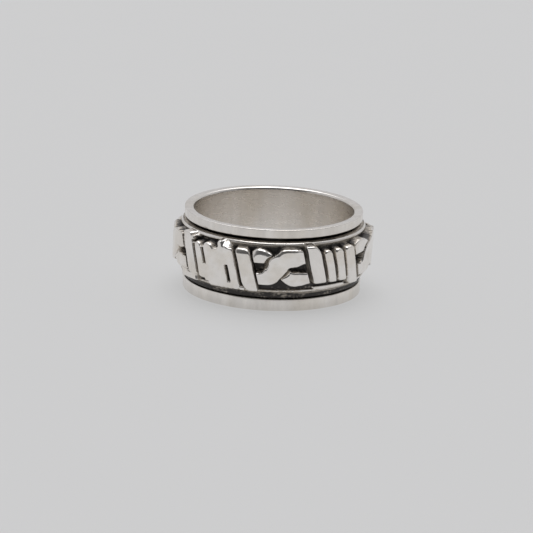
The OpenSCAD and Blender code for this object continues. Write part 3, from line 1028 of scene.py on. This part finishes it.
def oxidised_silver(scene):
    """Silver that is bright on its raised parts and blackened in its recesses, lighter or darker where its
    polish paints light and shade.
    """
    finish = scene.spinner_ring_finish
    material, maker, shader, place = new_material("oxidised silver")
    # This polish is partly real wear of the black and partly painted light and shade.
    polish = maker.put("ShaderNodeAttribute", attribute_name="polish").outputs["Fac"]
    wear = place_group(maker, shared_tree("Fine wear", fine_wear_tree), {
        "Vector": place, "Scratch scale": 900.0, "Grain scale": 3900.0})
    tarnish = place_group(maker, shared_tree("Warm tarnish", warm_tarnish_tree), {
        "Vector": place, "Colour": (*finish.rubbed_silver, 1), "Tarnish": (*finish.tarnish, 1), "Amount": 0.3,
        "Scale": 400.0, "Shade": 0.09, "Shade scale": 900.0})
    patches = maker.noise(place, scale=380.0, detail=3.0)[0]
    dull = maker.minus(1.0, polish)
    grain = maker.times(maker.minus(wear["Height"], NOISE_MIDDLE),
                        maker.times_plus(dull, GRAIN_ON_DULL - GRAIN_ON_POLISHED, GRAIN_ON_POLISHED))
    uneven = maker.times(maker.minus(patches, NOISE_MIDDLE), maker.times(dull, PATCHES_ON_DULL))
    ragged = maker.times_plus(polish, POLISH_WORTH, maker.plus(grain, uneven))
    bright = maker.remap(ragged, *METAL_BARE)
    dark = maker.blend(maker.remap(ragged, *BLACK_WORN), (*finish.patina, 1), (*finish.worn_patina, 1))
    maker.join(maker.remap(bright, 0.0, 1.0, *OXIDISED_METALLIC), shader.inputs["Metallic"])
    rough = maker.remap(bright, 0.0, 1.0, *OXIDISED_ROUGHNESS)
    bump = maker.remap(bright, 0.0, 1.0, *OXIDISED_BUMP)
    colour = maker.blend(bright, dark, tarnish["Colour"])
    finish_silver(maker, shader, colour, rough, wear, bump, distance=0.03 * MM)
    return material


def floor_paper(scene):
    """Pale matt paper."""
    stage = scene.spinner_ring_stage
    material, maker, shader, place = new_material("floor paper")
    darker, lighter = ((*(share * c for c in stage.floor_colour), 1) for share in (1 - MOTTLE, 1 + MOTTLE))
    mottle = maker.noise(place, scale=60.0, detail=3.0)[0]
    maker.join(maker.blend(mottle, darker, lighter), shader.inputs["Base Color"])
    shader.inputs["Roughness"].default_value = 0.9
    shader.inputs["Specular IOR Level"].default_value = 0.1
    shader.inputs["Emission Color"].default_value = (1, 1, 1, 1)
    shader.inputs["Emission Strength"].default_value = stage.floor_glow
    return material


# The stage

# Camera fitted to the photograph: distance and angles in metres and radians, lens in shares of the frame,
# and the width of the sensor in mm
CAMERA_DISTANCE = 0.4
CAMERA_HEIGHT_ANGLE = 0.26845
CAMERA_ROLL = -0.037367
CAMERA_FOCAL = 3354.13 / 533
CAMERA_YAW = -0.001607
CAMERA_PITCH = 0.00598
SENSOR_WIDTH = 36
# Nearest and furthest that the camera sees, in metres
CAMERA_CLIP = (0.01, 10)
# Where the room's light gives way to that of its sides, as the sideways part of a direction: beside the
# middle, far to the left and far to the right
ROOM_SIDES = ((0.25, 0.42), (-0.6, -0.85), (0.6, 0.85))
# The room's blue as a share of its red and green
ROOM_BLUE = 1.02


def make_camera(scene):
    """Makes the camera, aimed as the photograph's was."""
    direction = Vector((0, -math.cos(CAMERA_HEIGHT_ANGLE), math.sin(CAMERA_HEIGHT_ANGLE)))
    right = Vector((1, 0, 0))
    up = right.cross(-direction)
    facing = Matrix((right, up, direction))
    turned = (Matrix.Rotation(CAMERA_ROLL, 3, "Z") @ Matrix.Rotation(CAMERA_PITCH, 3, "X")
              @ Matrix.Rotation(CAMERA_YAW, 3, "Y") @ facing)
    camera = add_object("camera", bpy.data.cameras.new("camera"))
    camera.matrix_world = (Matrix.Translation(direction * CAMERA_DISTANCE + Vector((0, 0, RING_HEIGHT / 2)))
                           @ turned.transposed().to_4x4())
    camera.data.sensor_width = SENSOR_WIDTH
    camera.data.lens = CAMERA_FOCAL * SENSOR_WIDTH
    camera.data.clip_start, camera.data.clip_end = CAMERA_CLIP
    scene.camera = camera


def room_paths(stage):
    """Radiance on the way from the horizon at the back (0), over the top, to the horizon at the front (1):
    in the middle of the room, beside it, far to the left and far to the right."""
    front = ((0.86, stage.front), (1.0, stage.front * 1.4))
    softbox = ((0.26, stage.softbox), (0.54, stage.softbox), (0.6, stage.front))
    return (((0.0, 0.55), (0.2, 0.6), *softbox, *front),
            ((0.0, 0.52), (0.3, 0.6), (0.52, 0.5), (0.6, 0.14), *front),
            ((0.0, 0.55), (0.5, 0.6), (0.62, 0.55), (1.0, 0.5)),
            ((0.0, 0.55), (0.5, 0.45), (0.62, 0.3), (1.0, 0.3)))


def make_world(scene, stage):
    """A soft room: pale at the horizon, a wide softbox overhead and behind, and darker behind the camera."""
    world = bpy.data.worlds.new("studio")
    world.use_nodes = True
    maker = Maker(world.node_tree)
    background = world.node_tree.nodes["Background"]
    toward = maker.put("ShaderNodeSeparateXYZ", (
        maker.put("ShaderNodeTexCoord").outputs["Generated"],)).outputs
    way = maker.divide(maker.sum("ARCTAN2", toward[2], toward[1]), math.pi, clamp=True)
    ramps = []
    for stops in room_paths(stage):
        ramp = maker.put("ShaderNodeValToRGB", {"Fac": way})
        band = ramp.color_ramp.elements
        for number, (place, value) in enumerate(stops):
            stop = band[number] if number < 2 else band.new(place)
            stop.position = place
            stop.color = (value, value, value * ROOM_BLUE, 1)
        ramps.append(ramp.outputs["Color"])
    sky, *others = ramps
    sideways = (maker.sum("ABSOLUTE", toward[0]), toward[0], toward[0])
    for part, limits, ramp in zip(sideways, ROOM_SIDES, others):
        sky = maker.blend(maker.remap(part, *limits, kind="SMOOTHSTEP"), sky, ramp)
    maker.join(sky, background.inputs["Color"])
    scene.world = world


class MakeStage(bpy.types.Operator):
    """Makes the floor, the soft light and the camera."""

    bl_idname = "spinner_ring.stage"
    bl_label = "Stage"

    def execute(self, context):
        scene = context.scene
        stage = scene.spinner_ring_stage
        half = stage.floor_width / 2
        corners = [(-half, -half, 0), (half, -half, 0), (half, half, 0), (-half, half, 0)]
        mesh = bpy.data.meshes.new("floor")
        mesh.from_pydata(corners, [], [(0, 1, 2, 3)])
        mesh.materials.append(floor_paper(scene))
        floor = add_object("floor", mesh)
        make_world(scene, stage)
        make_camera(scene)
        scene.view_settings.view_transform = "Standard"
        return {"FINISHED"}


class SpinnerRingPanel(bpy.types.Panel):
    """Lists what makes the ring."""

    bl_idname = "VIEW3D_PT_spinner_ring"
    bl_label = "Spinner Ring"
    bl_space_type = "VIEW_3D"
    bl_region_type = "UI"
    bl_category = "Spinner Ring"

    def draw(self, context):
        for group in (context.scene.spinner_ring_sizes, context.scene.spinner_ring_finish,
                      context.scene.spinner_ring_stage):
            for name in group.bl_rna.properties.keys():
                if name not in ("rna_type", "name"):
                    self.layout.prop(group, name)
        for operator in OPERATORS:
            self.layout.operator(operator.bl_idname)


GROUPS = {"spinner_ring_sizes": SpinnerRingSizes, "spinner_ring_finish": SpinnerRingFinish,
          "spinner_ring_stage": SpinnerRingStage}
OPERATORS = (MakeStage, MakeInnerBand, MakeSpinnerBand)


def register():
    for kind in (*GROUPS.values(), *OPERATORS, SpinnerRingPanel):
        bpy.utils.register_class(kind)
    for name, kind in GROUPS.items():
        setattr(bpy.types.Scene, name, PointerProperty(type=kind))


def unregister():
    for name in GROUPS:
        delattr(bpy.types.Scene, name)
    for kind in reversed((*GROUPS.values(), *OPERATORS, SpinnerRingPanel)):
        bpy.utils.unregister_class(kind)


def main():
    register()
    bpy.ops.spinner_ring.stage()
    bpy.ops.spinner_ring.inner_band()
    bpy.ops.spinner_ring.spinner_band()
    bpy.context.view_layer.update()


if __name__ == "__main__":
    main()
